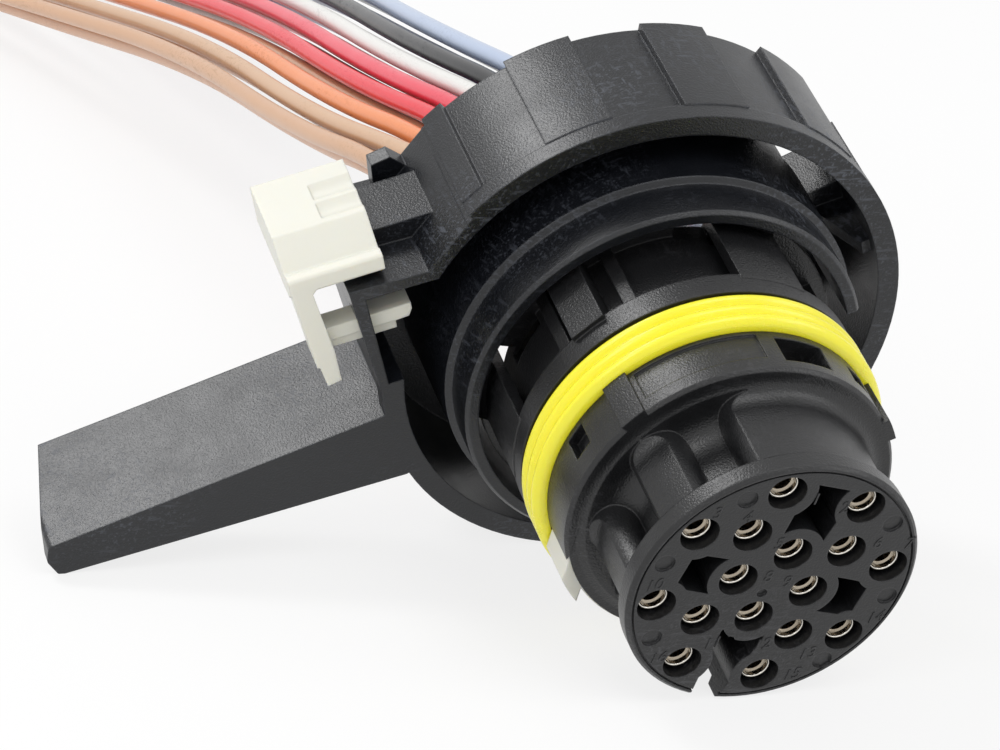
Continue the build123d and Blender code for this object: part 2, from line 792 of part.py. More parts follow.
def socket_contact(place):
    """One contact, turned about its own cavity's axis."""
    centre = across(0, pattern_turn).from_local_coords(Vector(*place))
    half = Plane(origin=centre, x_dir=sideways(0), z_dir=sideways(90) * -1)
    with BuildPart() as contact:
        with BuildSketch(half):
            with BuildLine():
                ThreePointArc(
                    (contact_steps[0][0], -contact_front - contact_lip_round),
                    ((contact_steps[0][0] + contact_lip_r) / 2, -contact_front),
                    (contact_lip_r, -contact_front - contact_lip_round),
                )
                Polyline(
                    (contact_lip_r, -contact_front - contact_lip_round),
                    (contact_lip_r, -contact_front - 0.6),
                    (contact_r, -contact_front - 0.8),
                    (contact_r, -lock_front),
                    (contact_groove_r, -lock_front - 0.2),
                    (contact_groove_r, -lock_front - lock_thickness),
                    (contact_r, -lock_front - lock_thickness - 0.2),
                    (contact_r, -contact_rear),
                    (0, -contact_rear),
                    (0, -contact_front - contact_bore_depth - 0.4),
                    (contact_bore_r, -contact_front - contact_bore_depth),
                    (contact_bore_r, -contact_front - contact_steps[1][1]),
                    (contact_steps[1][0], -contact_front - contact_steps[1][1]),
                    (contact_steps[1][0], -contact_front - contact_steps[0][1]),
                    (contact_steps[0][0], -contact_front - contact_steps[0][1]),
                    (contact_steps[0][0], -contact_front - contact_lip_round),
                )
            make_face()
        revolve(axis=Axis(centre, face.z_dir))
    return contact.part


for number, place in enumerate(cavities, start=1):
    contact = socket_contact(place)
    contact.label = f"contact_{number:02d}"
    export_step(contact, f"parts/contact_{number:02d}.step")


# Wires: each runs straight out of its contact, then falls into its lane of the flat bundle
# Stations of the bundle: distance behind the face, then both edges' places across and above the table
stations = (
    (72.0, -10.2, 26.0, 7.2, 34.4, 2.1),
    (101.0, -10.3, 20.9, 5.4, 32.1, 2.2),
    (146.0, -9.4, 16.4, 11.8, 25.0, 2.2),
    (191.0, -14.5, 9.4, 20.0, 16.0, 2.2),
    (235.0, -22.0, 3.6, 26.5, 6.7, 1.6),
    (274.0, -27.5, 1.0, 31.0, 1.0, 0.0),
    (310.0, -31.0, 1.0, 36.0, 1.0, 0.0),
)
wire_exit_depth = 44.0
# Lane of each wire by its contact's number, from the bundle's left edge to its right one
upper_lanes = {10: 0.0, 3: 0.93, 8: 1.95, 4: 3.14, 5: 4.07, 1: 5.0, 6: 5.95, 2: 7.0}
lower_lanes = {16: 0.3, 11: 1.33, 15: 2.81, 12: 3.68, 13: 4.58, 9: 5.5, 14: 6.51, 7: 7.5}
last_lane = 7.5


def wire_route(number, place):
    """Corner points of one wire, from its contact to its cut end on the table."""
    share = upper_lanes.get(number, lower_lanes.get(number)) / last_lane
    side = 0.5 if number in upper_lanes else -0.5
    points = [
        across(contact_rear, pattern_turn).from_local_coords(Vector(*place)),
        across(wire_exit_depth, pattern_turn).from_local_coords(Vector(*place)),
    ]
    for away, left, left_height, right, right_height, gap in stations:
        width = math.hypot(right - left, right_height - left_height)
        across_x = left + (right - left) * share - side * gap * (right_height - left_height) / width
        height = left_height + (right_height - left_height) * share + side * gap * (right - left) / width
        points.append(Vector(across_x, away, table_height + height))
    return points


def corner_radii(points):
    """Largest tangent arc at each corner that its two runs leave room for."""
    radii = []
    for before, corner, after in zip(points, points[1:], points[2:]):
        half_turn = math.radians((corner - before).get_angle(after - corner)) / 2
        shorter = min((corner - before).length, (after - corner).length)
        radii.append(0.45 * shorter / math.tan(half_turn))
    return radii


for number, place in enumerate(cavities, start=1):
    points = wire_route(number, place)
    radii = corner_radii(points)
    with BuildPart() as wire:
        with BuildLine() as route:
            FilletPolyline(*points, radius=radii)
        with BuildSketch(Plane(origin=points[0], z_dir=points[1] - points[0])):
            Circle(wire_r)
        sweep()
    length = route.wire().length
    print(
        f"wire_{number:02d}: length {length:.1f}, radii", [round(radius) for radius in radii],
        f"volume over section times length {wire.part.volume / (math.pi * wire_r ** 2 * length):.4f}",
    )
    wire.part.label = f"wire_{number:02d}"
    export_step(wire.part, f"parts/wire_{number:02d}.step")
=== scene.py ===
"""Looks of the sixteen-way connector pigtail, in metres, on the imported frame."""

import math

import bmesh
import bpy
from mathutils import Matrix, Vector


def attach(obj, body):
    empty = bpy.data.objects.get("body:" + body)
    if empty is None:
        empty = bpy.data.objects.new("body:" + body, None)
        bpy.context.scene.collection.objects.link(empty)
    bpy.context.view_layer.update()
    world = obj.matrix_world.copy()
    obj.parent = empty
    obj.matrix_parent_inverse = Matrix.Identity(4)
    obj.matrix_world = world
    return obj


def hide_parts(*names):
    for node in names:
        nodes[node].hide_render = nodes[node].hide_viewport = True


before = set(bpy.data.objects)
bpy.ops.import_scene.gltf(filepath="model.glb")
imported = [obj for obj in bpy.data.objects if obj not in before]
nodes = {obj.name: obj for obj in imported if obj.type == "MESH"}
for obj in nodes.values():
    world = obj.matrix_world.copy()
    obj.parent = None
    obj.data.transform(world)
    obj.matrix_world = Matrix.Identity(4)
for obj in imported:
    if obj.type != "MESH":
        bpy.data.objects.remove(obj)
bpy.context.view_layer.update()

# Connector body: one black glass-filled nylon moulding, satin and finely eroded all over.
# It lies on the rim of its nose and the rim of the collar, which tips the contact face down.
nose_radius = 13.0
nose_edge = 0.3
collar_radius = 24.4
collar_front = 33.0
rest_tilt = math.atan2(collar_radius - nose_radius, collar_front)
table_height = -0.001 * (nose_radius * math.cos(rest_tilt) - nose_edge * math.sin(rest_tilt))
face_out = Vector((0.0, -math.cos(rest_tilt), -math.sin(rest_tilt)))
face_up = Vector((0.0, -math.sin(rest_tilt), math.cos(rest_tilt)))
face_right = Vector((1.0, 0.0, 0.0))
face_axes = Matrix((face_right, face_up, face_out)).transposed().to_4x4()


def on_face(x, y, depth=0.0):
    """Point from the contact face's own millimetres, at a depth behind the face."""
    return (face_right * x + face_up * y - face_out * depth) * 0.001


def moulded_surface():
    """Shader group of a moulded plastic: eroded grain, scuffs in patches, soft edges, and rims in the
    scuffed colour, partly wear and on black plastic partly a painted highlight.
    """
    group = bpy.data.node_groups.new("moulded_surface", "ShaderNodeTree")
    sockets = group.interface
    sockets.new_socket("Base", in_out="INPUT", socket_type="NodeSocketColor")
    sockets.new_socket("Scuffed", in_out="INPUT", socket_type="NodeSocketColor")
    for name in ("Scuffs", "Grain", "Roughness"):
        sockets.new_socket(name, in_out="INPUT", socket_type="NodeSocketFloat")
    sockets.new_socket("Color", in_out="OUTPUT", socket_type="NodeSocketColor")
    sockets.new_socket("Roughness", in_out="OUTPUT", socket_type="NodeSocketFloat")
    sockets.new_socket("Normal", in_out="OUTPUT", socket_type="NodeSocketVector")
    add = group.nodes.new
    link = group.links.new
    given = add("NodeGroupInput")
    result = add("NodeGroupOutput")
    place = add("ShaderNodeTexCoord")
    scratch_lean = (0.3, 0.5)

    def noise(scale, detail, stretch=None, turn=0.0):
        texture = add("ShaderNodeTexNoise")
        texture.inputs["Scale"].default_value = scale
        texture.inputs["Detail"].default_value = detail
        if stretch is None:
            link(place.outputs["Object"], texture.inputs["Vector"])
        else:
            mapping = add("ShaderNodeMapping")
            mapping.inputs["Scale"].default_value = stretch
            mapping.inputs["Rotation"].default_value = (*scratch_lean, turn)
            link(place.outputs["Object"], mapping.inputs["Vector"])
            link(mapping.outputs["Vector"], texture.inputs["Vector"])
        return texture.outputs["Fac"]

    def ramp(value, low, high, bottom=0.0, top=1.0):
        mapped = add("ShaderNodeMapRange")
        limits = {"From Min": low, "From Max": high, "To Min": bottom, "To Max": top}
        for name, number in limits.items():
            mapped.inputs[name].default_value = number
        link(value, mapped.inputs["Value"])
        return mapped.outputs["Result"]

    def maths(kind, first, second):
        node = add("ShaderNodeMath")
        node.operation = kind
        node.use_clamp = True
        link(first, node.inputs[0])
        if isinstance(second, float):
            node.inputs[1].default_value = second
        else:
            link(second, node.inputs[1])
        return node.outputs["Value"]

    # Short scratches in two directions, thick in some patches and thin elsewhere.
    # The noise scales are in waves per metre.
    patches = ramp(noise(scale=48.0, detail=4.0), low=0.46, high=0.68, bottom=0.04)
    scratch_runs = []
    for scale, stretch, turn in ((2300.0, (1.0, 0.16, 1.0), 0.7), (2800.0, (0.16, 1.0, 1.0), -0.4)):
        scratch_runs.append(ramp(noise(scale, 2.0, stretch, turn), low=0.58, high=0.70))
    scratches = maths("MAXIMUM", *scratch_runs)
    specks = ramp(noise(scale=4200.0, detail=0.0), low=0.66, high=0.80)
    rubbed = maths("MULTIPLY", maths("MAXIMUM", scratches, specks), patches)
    # Rims, found where the rounded normal leaves the true one, take the scuffed colour: partly rubbed
    # wear, and on black plastic partly a painted highlight along the rims
    edge_radius = 0.00022
    soft_edge = add("ShaderNodeBevel")
    soft_edge.samples = 4
    soft_edge.inputs["Radius"].default_value = edge_radius
    true_shape = add("ShaderNodeNewGeometry")
    agreement = add("ShaderNodeVectorMath")
    agreement.operation = "DOT_PRODUCT"
    link(soft_edge.outputs["Normal"], agreement.inputs[0])
    link(true_shape.outputs["Normal"], agreement.inputs[1])
    rim_wear_and_highlight = ramp(agreement.outputs["Value"], low=0.98, high=0.80, top=0.55)
    rim_wear_and_highlight = maths("MULTIPLY", rim_wear_and_highlight, ramp(noise(scale=900.0, detail=2.0), low=0.35, high=0.60))
    # Scuffs and rims together, so this carries the painted rim highlight as well as real wear
    wear_and_rim_highlight = maths("MULTIPLY", maths("MAXIMUM", rubbed, rim_wear_and_highlight), given.outputs["Scuffs"])
    colour = add("ShaderNodeMix")
    colour.data_type = "RGBA"
    link(wear_and_rim_highlight, colour.inputs["Factor"])
    link(given.outputs["Base"], colour.inputs["A"])
    link(given.outputs["Scuffed"], colour.inputs["B"])
    link(colour.outputs["Result"], result.inputs["Color"])

    marks_roughness = 0.25
    worn = ramp(noise(scale=240.0, detail=4.0), low=0.3, high=0.7, top=0.06)
    handled = maths("ADD", given.outputs["Roughness"], worn)
    rough = maths("ADD", handled, maths("MULTIPLY", wear_and_rim_highlight, marks_roughness))
    link(rough, result.inputs["Roughness"])

    grain_height = 0.00005
    grain = add("ShaderNodeBump")
    grain.inputs["Distance"].default_value = grain_height
    link(given.outputs["Grain"], grain.inputs["Strength"])
    link(noise(scale=5600.0, detail=1.0), grain.inputs["Height"])
    link(soft_edge.outputs["Normal"], grain.inputs["Normal"])
    link(grain.outputs["Normal"], result.inputs["Normal"])
    return group


moulded_group = moulded_surface()


def moulded_material(name, base, scuffed, scuffs, grain, roughness):
    """Material of one moulding, with the shared surface placed in it."""
    material = bpy.data.materials.new(name)
    material.use_nodes = True
    tree = material.node_tree
    surface = tree.nodes.new("ShaderNodeGroup")
    surface.node_tree = moulded_group
    surface.inputs["Base"].default_value = (*base, 1.0)
    surface.inputs["Scuffed"].default_value = (*scuffed, 1.0)
    surface.inputs["Scuffs"].default_value = scuffs
    surface.inputs["Grain"].default_value = grain
    surface.inputs["Roughness"].default_value = roughness
    shader = tree.nodes["Principled BSDF"]
    tree.links.new(surface.outputs["Color"], shader.inputs["Base Color"])
    tree.links.new(surface.outputs["Roughness"], shader.inputs["Roughness"])
    tree.links.new(surface.outputs["Normal"], shader.inputs["Normal"])
    return material


def dress(node, material):
    """Puts one material on a node of the frame."""
    mesh = nodes[node].data
    mesh.materials.clear()
    mesh.materials.append(material)


# Its scuffed grey also lightens its rims: partly wear, partly a painted highlight along the rims.
body_nylon = moulded_material(
    "body_plastic", base=(0.0080, 0.0082, 0.0090), scuffed=(0.10, 0.10, 0.11),
    scuffs=0.35, grain=0.75, roughness=0.30,
)
dress("connector_body", body_nylon)

# Contact numbers: small raised figures beside the cavities, moulded with the contact face.
# They lean a little, and each stands just proud of the face.
figure_size = 0.00165
figure_height = 0.00005
figure_lean = math.radians(10.0)
figure_shear = 0.3
figure_places = {
    1: (1.3, 9.4), 2: (4.2, 8.3), 3: (-7.3, 8.5), 4: (-4.45, 7.85), 5: (-0.8, 4.7), 6: (8.45, 4.05),
    7: (11.4, 3.8), 8: (-0.85, 1.0), 9: (1.05, 0.3), 10: (-11.1, 0.9), 11: (-4.15, -6.2), 12: (0.6, -6.75),
    13: (5.2, -8.25), 14: (10.6, -4.5), 15: (4.35, -10.6), 16: (-8.8, -7.5),
}
figures = bmesh.new()
for number, (x, y) in figure_places.items():
    font = bpy.data.curves.new(f"figure_{number:02d}", "FONT")
    font.body = str(number)
    font.size = figure_size
    font.shear = figure_shear
    font.extrude = figure_height
    font.align_x = "CENTER"
    font.align_y = "CENTER"
    figure = bpy.data.objects.new(f"figure_{number:02d}", font)
    bpy.context.scene.collection.objects.link(figure)
    bpy.context.view_layer.update()
    mesh = bpy.data.meshes.new_from_object(figure.evaluated_get(bpy.context.evaluated_depsgraph_get()))
    bpy.data.objects.remove(figure)
    mesh.transform(Matrix.Translation(on_face(x, y)) @ face_axes @ Matrix.Rotation(figure_lean, 4, "Z"))
    figures.from_mesh(mesh)
    bpy.data.meshes.remove(mesh)
figures_mesh = bpy.data.meshes.new("contact_numbers")
figures.to_mesh(figures_mesh)
figures.free()
figures_mesh.materials.append(body_nylon)
contact_numbers = bpy.data.objects.new("contact_numbers", figures_mesh)
bpy.context.scene.collection.objects.link(contact_numbers)
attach(contact_numbers, "connector")

# Locking collar: a second black moulding, handled more than the body.
# Its lever and grip pads carry pale scuffs and fine scratches, and its rims take the same pale grey,
# partly as wear and partly as a painted highlight.
collar_nylon = moulded_material(
    "collar_plastic", base=(0.0050, 0.0058, 0.0080), scuffed=(0.10, 0.11, 0.135),
    scuffs=0.65, grain=0.60, roughness=0.30,
)
dress("locking_collar", collar_nylon)

# Slide lock, terminal lock and seal retainer: smooth unfilled ivory mouldings.
# Light goes a little way into them, so their edges look soft.
ivory = moulded_material(
    "lock_plastic", base=(0.76, 0.752, 0.675), scuffed=(0.70, 0.68, 0.58),
    scuffs=0.3, grain=0.08, roughness=0.38,
)
ivory_shader = ivory.node_tree.nodes["Principled BSDF"]
ivory_shader.inputs["Subsurface Weight"].default_value = 0.35
ivory_shader.inputs["Subsurface Radius"].default_value = (1.0, 0.85, 0.6)
ivory_shader.inputs["Subsurface Scale"].default_value = 0.0010
for node in ("slide_lock", "terminal_lock", "seal_retainer"):
    dress(node, ivory)

# Ring seal: soft oiled silicone in lemon yellow, three round ribs on one band.
# It sits stretched in its groove behind the barrel; the mat seal is of the same silicone.
silicone = moulded_material(
    "seal_rubber", base=(0.95, 0.86, 0.03), scuffed=(0.92, 0.86, 0.20),
    scuffs=0.2, grain=0.05, roughness=0.26,
)
silicone_shader = silicone.node_tree.nodes["Principled BSDF"]
silicone_shader.inputs["Subsurface Weight"].default_value = 0.30
silicone_shader.inputs["Subsurface Radius"].default_value = (1.0, 0.8, 0.1)
silicone_shader.inputs["Subsurface Scale"].default_value = 0.0015
silicone_shader.inputs["Coat Weight"].default_value = 0.35
silicone_shader.inputs["Coat Roughness"].default_value = 0.15
dress("mat_seal", silicone)


def ribbed_ring_tree():
    """Geometry of a closed ring about z whose outside is waved into equal ribs."""
    tree = bpy.data.node_groups.new("ribbed_ring", "GeometryNodeTree")
    sockets = tree.interface
    sockets.new_socket("Geometry", in_out="INPUT", socket_type="NodeSocketGeometry")
    for name in ("Ribs", "Segments", "Steps"):
        sockets.new_socket(name, in_out="INPUT", socket_type="NodeSocketInt")
    for name in ("Width", "Valley", "Crest", "Bore"):
        sockets.new_socket(name, in_out="INPUT", socket_type="NodeSocketFloat")
    sockets.new_socket("Material", in_out="INPUT", socket_type="NodeSocketMaterial")
    sockets.new_socket("Geometry", in_out="OUTPUT", socket_type="NodeSocketGeometry")
    add = tree.nodes.new
    link = tree.links.new
    given = add("NodeGroupInput")
    result = add("NodeGroupOutput")

    def maths(kind, first, second=None):
        node = add("ShaderNodeMath")
        node.operation = kind
        for socket, value in zip(node.inputs, (first, second)):
            if isinstance(value, float):
                socket.default_value = value
            elif value is not None:
                link(value, socket)
        return node.outputs["Value"]

    grid = add("GeometryNodeMeshGrid")
    link(given.outputs["Steps"], grid.inputs["Vertices X"])
    link(given.outputs["Segments"], grid.inputs["Vertices Y"])
    place = add("GeometryNodeInputPosition")
    parts = add("ShaderNodeSeparateXYZ")
    link(place.outputs["Position"], parts.inputs["Vector"])
    share = maths("ADD", parts.outputs["X"], 0.5)
    phase = maths("MULTIPLY", maths("MULTIPLY", share, given.outputs["Ribs"]), math.pi)
    wave = maths("ABSOLUTE", maths("SINE", phase))
    height = maths("MULTIPLY", wave, maths("SUBTRACT", given.outputs["Crest"], given.outputs["Valley"]))
    radius = maths("ADD", height, given.outputs["Valley"])
    turn = maths("MULTIPLY", parts.outputs["Y"], math.tau)
    cosine = maths("COSINE", turn)
    sine = maths("SINE", turn)
    outside = add("ShaderNodeCombineXYZ")
    link(maths("MULTIPLY", cosine, radius), outside.inputs["X"])
    link(maths("MULTIPLY", sine, radius), outside.inputs["Y"])
    link(maths("MULTIPLY", share, given.outputs["Width"]), outside.inputs["Z"])
    inside = add("ShaderNodeCombineXYZ")
    link(maths("MULTIPLY", cosine, given.outputs["Bore"]), inside.inputs["X"])
    link(maths("MULTIPLY", sine, given.outputs["Bore"]), inside.inputs["Y"])
    link(maths("MULTIPLY", share, given.outputs["Width"]), inside.inputs["Z"])
    shells = []
    for shape in (outside, inside):
        shell = add("GeometryNodeSetPosition")
        link(grid.outputs["Mesh"], shell.inputs["Geometry"])
        link(shape.outputs["Vector"], shell.inputs["Position"])
        shells.append(shell)
    # The two end walls: a narrow grid across the ring's thickness, at both ends
    wall_grid = add("GeometryNodeMeshGrid")
    wall_grid.inputs["Vertices X"].default_value = 2
    link(given.outputs["Segments"], wall_grid.inputs["Vertices Y"])
    depth = maths("SUBTRACT", given.outputs["Valley"], given.outputs["Bore"])
    wall_radius = maths("ADD", maths("MULTIPLY", share, depth), given.outputs["Bore"])
    for end in (0.0, 1.0):
        shape = add("ShaderNodeCombineXYZ")
        link(maths("MULTIPLY", cosine, wall_radius), shape.inputs["X"])
        link(maths("MULTIPLY", sine, wall_radius), shape.inputs["Y"])
        link(maths("MULTIPLY", given.outputs["Width"], end), shape.inputs["Z"])
        wall = add("GeometryNodeSetPosition")
        link(wall_grid.outputs["Mesh"], wall.inputs["Geometry"])
        link(shape.outputs["Vector"], wall.inputs["Position"])
        shells.append(wall)
    joined = add("GeometryNodeJoinGeometry")
    for shell in reversed(shells):
        link(shell.outputs["Geometry"], joined.inputs["Geometry"])
    weld_distance = 0.000002
    merged = add("GeometryNodeMergeByDistance")
    merged.inputs["Distance"].default_value = weld_distance
    link(joined.outputs["Geometry"], merged.inputs["Geometry"])
    smooth = add("GeometryNodeSetShadeSmooth")
    link(merged.outputs["Geometry"], smooth.inputs["Geometry"])
    real = add("GeometryNodeRealizeInstances")
    link(smooth.outputs["Geometry"], real.inputs["Geometry"])
    painted = add("GeometryNodeSetMaterial")
    link(real.outputs["Geometry"], painted.inputs["Geometry"])
    link(given.outputs["Material"], painted.inputs["Material"])
    link(painted.outputs["Geometry"], result.inputs["Geometry"])
    return tree


def built_mesh(name, tree, values, source=None):
    """Plain mesh that a geometry tree makes of a source mesh with the given inputs."""
    holder = bpy.data.objects.new(name, source or bpy.data.meshes.new(name + "_source"))
    bpy.context.scene.collection.objects.link(holder)
    modifier = holder.modifiers.new(name, "NODES")
    modifier.node_group = tree
    for socket in tree.interface.items_tree:
        if socket.item_type == "SOCKET" and socket.in_out == "INPUT" and socket.name in values:
            modifier[socket.identifier] = values[socket.name]
    bpy.context.view_layer.update()
    mesh = bpy.data.meshes.new_from_object(holder.evaluated_get(bpy.context.evaluated_depsgraph_get()))
    mesh.name = name
    bpy.data.objects.remove(holder)
    return mesh


seal_front = 15.45
seal_values = {
    "Ribs": 3, "Segments": 241, "Steps": 37, "Width": 0.00395, "Valley": 0.0154, "Crest": 0.01605,
    "Bore": 0.01355, "Material": silicone,
}
seal_mesh = built_mesh("ring_seal_band", ribbed_ring_tree(), seal_values)
# The ring is built along its own z, which becomes the direction into the connector
seal_axes = Matrix((face_right, -face_up, -face_out)).transposed().to_4x4()
seal_mesh.transform(Matrix.Translation(on_face(0.0, 0.0, seal_front)) @ seal_axes)
shell = bmesh.new()
shell.from_mesh(seal_mesh)
bmesh.ops.recalc_face_normals(shell, faces=shell.faces)
shell.to_mesh(seal_mesh)
shell.free()
ring_seal_band = bpy.data.objects.new("ring_seal_band", seal_mesh)
bpy.context.scene.collection.objects.link(ring_seal_band)
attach(ring_seal_band, "connector")
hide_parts("ring_seal")

# Contacts: rolled copper-alloy sockets with bright plating on the lip and the steps.
# Down the bore their colour goes darker and warmer as painted shade, and their surface grows rougher.
bore_shade_start = 1.4
bore_shade_full = 4.5
contact_plate = bpy.data.materials.new("contact_metal")
contact_plate.use_nodes = True
contact_tree = contact_plate.node_tree
contact_shader = contact_tree.nodes["Principled BSDF"]
contact_shader.inputs["Metallic"].default_value = 1.0
contact_place = contact_tree.nodes.new("ShaderNodeTexCoord")
# Millimetres behind the contact face, stirred by noise, which sets where the painted shade down the bore
# begins
bore_depth = contact_tree.nodes.new("ShaderNodeVectorMath")
bore_depth.operation = "DOT_PRODUCT"
bore_depth.inputs[1].default_value = tuple(face_out * -1000.0)
contact_tree.links.new(contact_place.outputs["Object"], bore_depth.inputs[0])
shade_noise = contact_tree.nodes.new("ShaderNodeTexNoise")
shade_noise.inputs["Scale"].default_value = 700.0
shade_noise.inputs["Detail"].default_value = 2.0
contact_tree.links.new(contact_place.outputs["Object"], shade_noise.inputs["Vector"])
noisy_shade_depth = contact_tree.nodes.new("ShaderNodeMath")
noisy_shade_depth.operation = "ADD"
contact_tree.links.new(bore_depth.outputs["Value"], noisy_shade_depth.inputs[0])
contact_tree.links.new(shade_noise.outputs["Fac"], noisy_shade_depth.inputs[1])
inward = contact_tree.nodes.new("ShaderNodeMapRange")
inward.inputs["From Min"].default_value = bore_shade_start
inward.inputs["From Max"].default_value = bore_shade_full
contact_tree.links.new(noisy_shade_depth.outputs["Value"], inward.inputs["Value"])
# Pale at the lip, darker and warmer deep in the bore: painted shade
bore_shade_tint = contact_tree.nodes.new("ShaderNodeValToRGB")
bore_shade_tint.color_ramp.elements[0].position = 0.0
bore_shade_tint.color_ramp.elements[0].color = (0.72, 0.69, 0.63, 1.0)
bore_shade_tint.color_ramp.elements[1].position = 1.0
bore_shade_tint.color_ramp.elements[1].color = (0.42, 0.33, 0.24, 1.0)
contact_tree.links.new(inward.outputs["Result"], bore_shade_tint.inputs["Fac"])
contact_tree.links.new(bore_shade_tint.outputs["Color"], contact_shader.inputs["Base Color"])
gloss = contact_tree.nodes.new("ShaderNodeMapRange")
gloss.inputs["To Min"].default_value = 0.14
gloss.inputs["To Max"].default_value = 0.34
contact_tree.links.new(inward.outputs["Result"], gloss.inputs["Value"])
contact_tree.links.new(gloss.outputs["Result"], contact_shader.inputs["Roughness"])
for number in range(1, 17):
    dress(f"contact_{number:02d}", contact_plate)

# Wires: sixteen thin-wall wires, each straight out of its contact and then loose in a flat bundle.
# The bundle comes down to the table behind the picture, and every wire ends cut square.
pattern_turn = math.radians(-15.0)
pattern_row = 2
# Radius of each ring of contacts, how many it has, and the turn of the first
pattern = []
for ring_radius, ring_count, first_turn in ((3.55, 4, 0.0), (6.75, 4, 45.0), (10.35, 8, 22.5)):
    for step in range(ring_count):
        turn = math.radians(first_turn + step * 360.0 / ring_count)
        pattern.append((ring_radius * math.cos(turn), ring_radius * math.sin(turn)))
pattern.sort(key=lambda p: (-round(p[1] / pattern_row), p[0]))
pattern_cos = math.cos(pattern_turn)
pattern_sin = math.sin(pattern_turn)
cavities = [(x * pattern_cos - y * pattern_sin, x * pattern_sin + y * pattern_cos) for x, y in pattern]
# Distance away from the face's centre, then the left edge's place across and above the table,
# then the right edge's, then the gap between the two layers
stations = (
    (72.0, -10.2, 26.0, 7.2, 34.4, 2.1),
    (101.0, -10.3, 20.9, 5.4, 32.1, 2.2),
    (146.0, -9.4, 16.4, 11.8, 25.0, 2.2),
    (191.0, -14.5, 9.4, 20.0, 16.0, 2.2),
    (235.0, -22.0, 3.6, 26.5, 6.7, 1.6),
    (274.0, -27.5, 1.0, 31.0, 1.0, 0.0),
    (310.0, -31.0, 1.0, 36.0, 1.0, 0.0),
)
upper_lanes = {10: 0.0, 3: 0.93, 8: 1.95, 4: 3.14, 5: 4.07, 1: 5.0, 6: 5.95, 2: 7.0}
lower_lanes = {16: 0.3, 11: 1.33, 15: 2.81, 12: 3.68, 13: 4.58, 9: 5.5, 14: 6.51, 7: 7.5}
last_lane = 7.5
wire_radius = 0.00095
wire_start_depth = 22.0
wire_bend_depth = 44.0
insulation_rubbed = 0.75
wire_colours = {
    1: (0.80, 0.79, 0.76), 2: (0.46, 0.54, 0.70), 3: (0.64, 0.40, 0.24), 4: (0.78, 0.02, 0.04),
    5: (0.80, 0.06, 0.10), 6: (0.012, 0.012, 0.014), 7: (0.16, 0.17, 0.19), 8: (0.84, 0.27, 0.09),
    9: (0.10, 0.04, 0.20), 10: (0.62, 0.36, 0.21), 11: (0.64, 0.40, 0.24), 12: (0.22, 0.07, 0.03),
    13: (0.72, 0.02, 0.05), 14: (0.02, 0.04, 0.16), 15: (0.62, 0.38, 0.22), 16: (0.62, 0.35, 0.21),
}


def wire_route(number, place):
    """Control points of one wire, from its contact to its cut end on the table."""
    share = upper_lanes.get(number, lower_lanes.get(number)) / last_lane
    side = 0.5 if number in upper_lanes else -0.5
    points = [on_face(*place, wire_start_depth), on_face(*place, wire_bend_depth)]
    for away, left, left_height, right, right_height, gap in stations:
        width = math.hypot(right - left, right_height - left_height)
        across = left + (right - left) * share - side * gap * (right_height - left_height) / width
        height = left_height + (right_height - left_height) * share + side * gap * (right - left) / width
        points.append(Vector((across * 0.001, away * 0.001, table_height + height * 0.001)))
    return points


wire_ends = []
for number, place in enumerate(cavities, start=1):
    name = f"wire_{number:02d}"
    curve = bpy.data.curves.new(name + "_cord", "CURVE")
    curve.dimensions = "3D"
    curve.bevel_depth = wire_radius
    curve.bevel_resolution = 6
    curve.resolution_u = 24
    curve.use_fill_caps = True
    spline = curve.splines.new("NURBS")
    route = wire_route(number, place)
    spline.points.add(len(route) - 1)
    for control, point in zip(spline.points, route):
        control.co = (*point, 1.0)
    spline.order_u = 3
    spline.use_endpoint_u = True
    wire_ends.append((route[-1], (route[-1] - route[-2]).normalized()))
    cord = bpy.data.objects.new(name + "_cord", curve)
    bpy.context.scene.collection.objects.link(cord)
    base = wire_colours[number]
    rubbed = tuple(insulation_rubbed * channel for channel in base)
    insulation = moulded_material(
        name + "_insulation", base=base, scuffed=rubbed, scuffs=0.7, grain=0.08, roughness=0.30
    )
    insulation.node_tree.nodes["Principled BSDF"].inputs["Coat Weight"].default_value = 0.15
    curve.materials.append(insulation)
    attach(cord, "connector")
    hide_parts(name)

# Copper at the cut ends: each wire's core, nineteen fine drawn strands in two rings round one.
# They are cut off with the insulation and stand a hair proud of it.
copper = bpy.data.materials.new("copper_strands")
copper.use_nodes = True
copper_tree = copper.node_tree
copper_shader = copper_tree.nodes["Principled BSDF"]
copper_shader.inputs["Metallic"].default_value = 1.0
copper_place = copper_tree.nodes.new("ShaderNodeTexCoord")
tarnish = copper_tree.nodes.new("ShaderNodeTexNoise")
tarnish.inputs["Scale"].default_value = 1500.0
copper_tree.links.new(copper_place.outputs["Object"], tarnish.inputs["Vector"])
copper_tint = copper_tree.nodes.new("ShaderNodeValToRGB")
copper_tint.color_ramp.elements[0].color = (0.55, 0.22, 0.11, 1.0)
copper_tint.color_ramp.elements[1].color = (0.86, 0.42, 0.24, 1.0)
copper_tree.links.new(tarnish.outputs["Fac"], copper_tint.inputs["Fac"])
copper_tree.links.new(copper_tint.outputs["Color"], copper_shader.inputs["Base Color"])
copper_shader.inputs["Roughness"].default_value = 0.32


